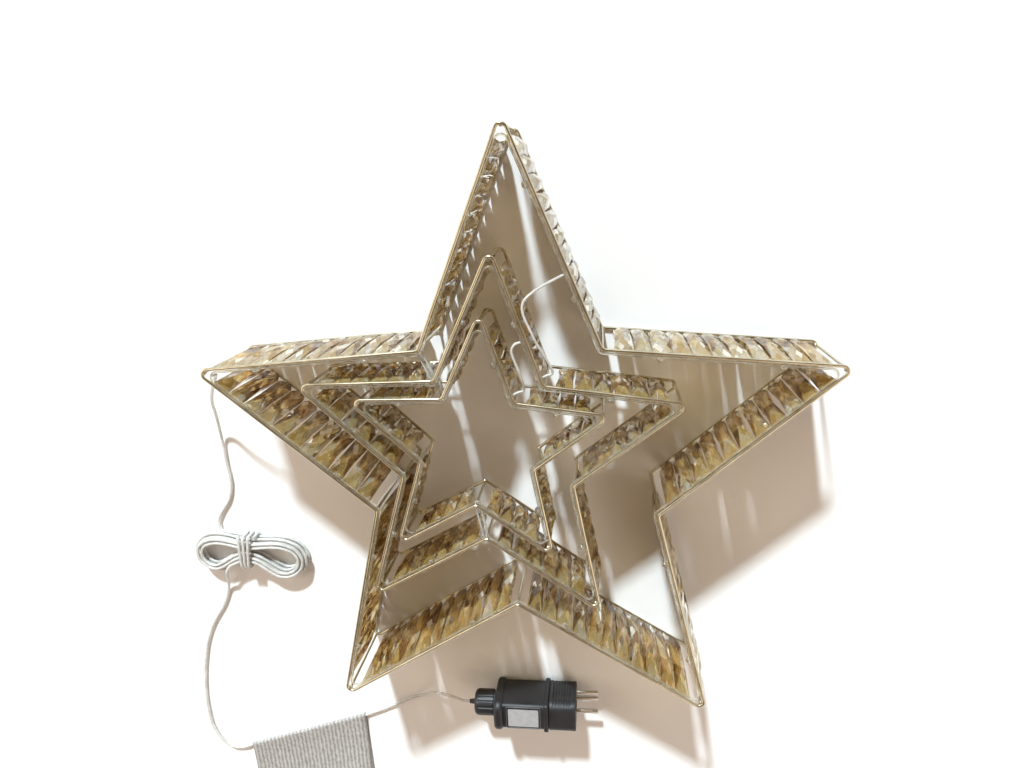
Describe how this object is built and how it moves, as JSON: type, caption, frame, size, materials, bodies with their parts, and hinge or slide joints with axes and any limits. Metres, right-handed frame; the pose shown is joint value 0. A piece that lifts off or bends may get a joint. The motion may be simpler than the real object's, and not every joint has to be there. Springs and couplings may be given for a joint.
{
  "type": "led christmas star",
  "caption": "Light-up hanging star of nested gilt wire stars walled with faceted amber crystals, on a clear lead with a plug-in driver.",
  "frame": {"origin": "on the floor, at the middle in plan of the large star's own length and width, the star lying on its back", "axes": "+Y points to the large star's top tip, +Z out of its front, +X to the right seen from the front"},
  "size_m": [0.5426, 0.6168, 0.0809],
  "materials": {
    "gilt_rod": "bright gold-coloured metal rod",
    "amber_crystal": "clear amber, faceted and polished",
    "clear_cable": "clear soft plastic over fine wires",
    "clear_nylon": "clear, smooth",
    "tag_fabric": "thin white tape, bare",
    "label_film": "white film label, bare",
    "black_plastic": "matt black moulding",
    "seal_rubber": "soft black rubber",
    "pin_metal": "bright smooth metal"
  },
  "bodies": {
    "star": {"large_rear_frame": "gilt_rod", "large_front_wire": "gilt_rod", "large_crystal_strip_1": "amber_crystal", "large_crystal_strip_2": "amber_crystal", "large_crystal_strip_3": "amber_crystal", "large_crystal_strip_4": "amber_crystal", "large_crystal_strip_5": "amber_crystal", "large_crystal_strip_6": "amber_crystal", "large_crystal_strip_7": "amber_crystal", "large_crystal_strip_8": "amber_crystal", "large_crystal_strip_9": "amber_crystal", "large_crystal_strip_10": "amber_crystal", "large_light_string": "clear_cable", "medium_rear_frame": "gilt_rod", "medium_front_wire": "gilt_rod", "medium_crystal_strip_1": "amber_crystal", "medium_crystal_strip_2": "amber_crystal", "medium_crystal_strip_3": "amber_crystal", "medium_crystal_strip_4": "amber_crystal", "medium_crystal_strip_5": "amber_crystal", "medium_crystal_strip_6": "amber_crystal", "medium_crystal_strip_7": "amber_crystal", "medium_crystal_strip_8": "amber_crystal", "medium_crystal_strip_9": "amber_crystal", "medium_crystal_strip_10": "amber_crystal", "medium_light_string": "clear_cable", "small_rear_frame": "gilt_rod", "small_front_wire": "gilt_rod", "small_crystal_strip_1": "amber_crystal", "small_crystal_strip_2": "amber_crystal", "small_crystal_strip_3": "amber_crystal", "small_crystal_strip_4": "amber_crystal", "small_crystal_strip_5": "amber_crystal", "small_crystal_strip_6": "amber_crystal", "small_crystal_strip_7": "amber_crystal", "small_crystal_strip_8": "amber_crystal", "small_crystal_strip_9": "amber_crystal", "small_crystal_strip_10": "amber_crystal", "small_light_string": "clear_cable", "upper_left_tie": "clear_nylon", "upper_left_inner_tie": "clear_nylon", "left_tie": "clear_nylon", "bottom_inner_tie": "clear_nylon", "outer_link_cable": "clear_cable", "inner_link_cable": "clear_cable", "lead_to_hank": "clear_cable", "lead_hank": "clear_cable", "hank_tie": "clear_cable", "lead_to_driver": "clear_cable", "warning_tag": "tag_fabric", "driver_body": "black_plastic", "lead_connector": "black_plastic", "adapter_shell": "black_plastic", "line_pin": "pin_metal", "neutral_pin": "pin_metal", "earth_pin": "pin_metal", "rating_label": "label_film"},
    "seal": {"seal_ring": "seal_rubber"},
    "nut": {"union_nut": "black_plastic"}
  },
  "joints": [
    {"name": "seal_slide", "type": "slide", "parent": "star", "child": "seal", "axis": [-1, 0, 0], "range_m": [0, 0.003]},
    {"name": "nut_turn", "type": "hinge", "parent": "seal", "child": "nut", "pos_m": [-0.0393, -0.26521, 0.022], "axis": [-1, 0, 0], "range_deg": [0, 540]}
  ],
  "couplings": [
    {"joint": "seal_slide", "follows": "nut_turn", "m_per_rad": 0.000318}
  ]
}
